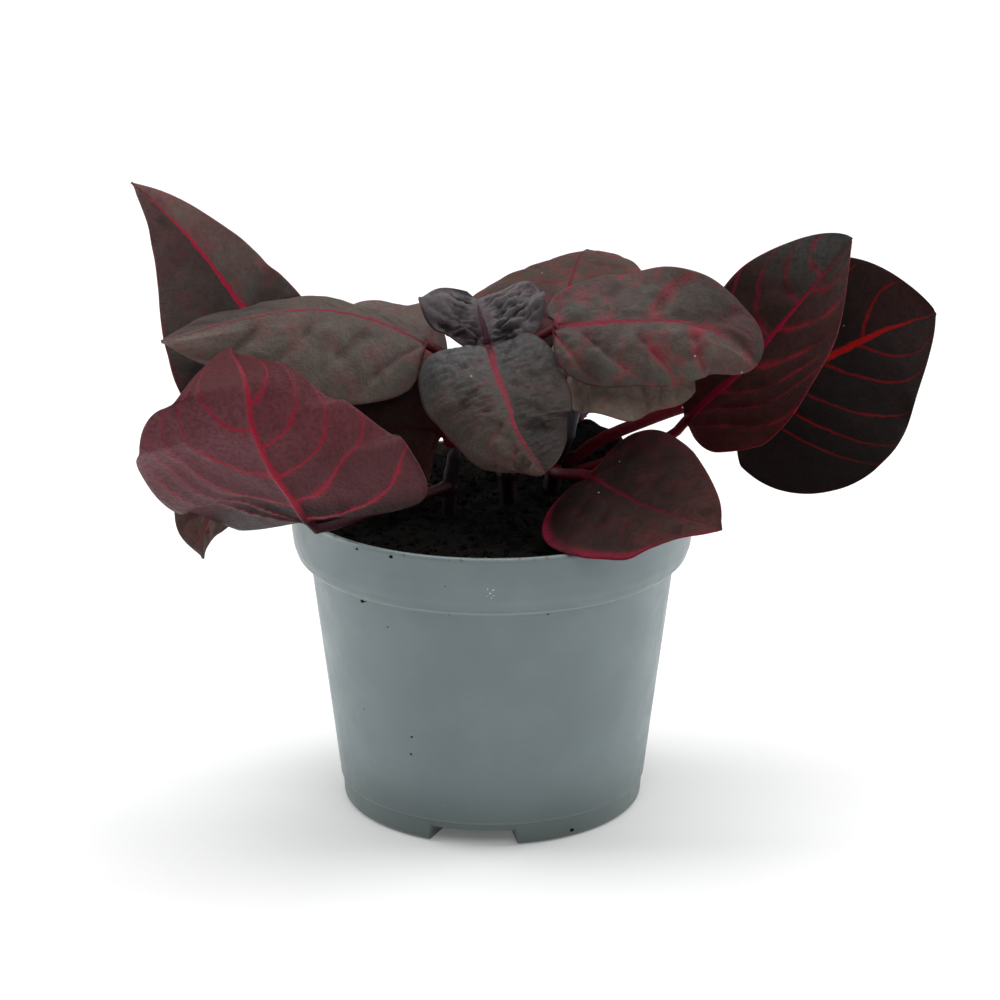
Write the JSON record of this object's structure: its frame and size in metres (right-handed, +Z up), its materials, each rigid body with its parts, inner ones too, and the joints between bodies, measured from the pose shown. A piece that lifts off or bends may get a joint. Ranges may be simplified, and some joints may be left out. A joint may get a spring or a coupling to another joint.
{
  "type": "bloodleaf plant in a nursery pot",
  "caption": "Bushy bloodleaf foliage plant with dark, crimson-veined rounded leaves on short stems, rooted in soil in a plain grey plastic nursery pot.",
  "frame": {"origin": "centre of the pot's base, on the plane that the pot stands on", "axes": "+Z up along the pot's axis; -Y is the front, the side that the picture shows; +X is to the right seen from the front, along the widest reach of the leaves"},
  "size_m": [0.2135, 0.1288, 0.1603],
  "materials": {
    "pot_plastic": "satin grey moulded plastic with small specks of soil",
    "potting_soil": "near-black, dull, crumbly peat",
    "stem_skin": "smooth satin skin, dark purple with a bluish bloom",
    "leaf_skin": "satin puckered blade, olive-brown with crimson veins above, magenta-brown below"
  },
  "bodies": {
    "root": {"pot": "pot_plastic", "soil": "potting_soil", "stem_centre": "stem_skin", "stem_right": "stem_skin", "stem_left": "stem_skin", "leaf_far_left": "leaf_skin", "leaf_left": "leaf_skin", "leaf_front_left": "leaf_skin", "leaf_low_left": "leaf_skin", "leaf_front_centre": "leaf_skin", "leaf_crown": "leaf_skin", "leaf_right": "leaf_skin", "leaf_under_right": "leaf_skin", "leaf_back_right": "leaf_skin", "leaf_far_right": "leaf_skin", "leaf_dark_right": "leaf_skin", "leaf_front_right": "leaf_skin", "leaf_shaded": "leaf_skin", "leaf_back_left": "leaf_skin", "leaf_low_back_right": "leaf_skin", "leaf_low_back": "leaf_skin"}
  },
  "joints": []
}
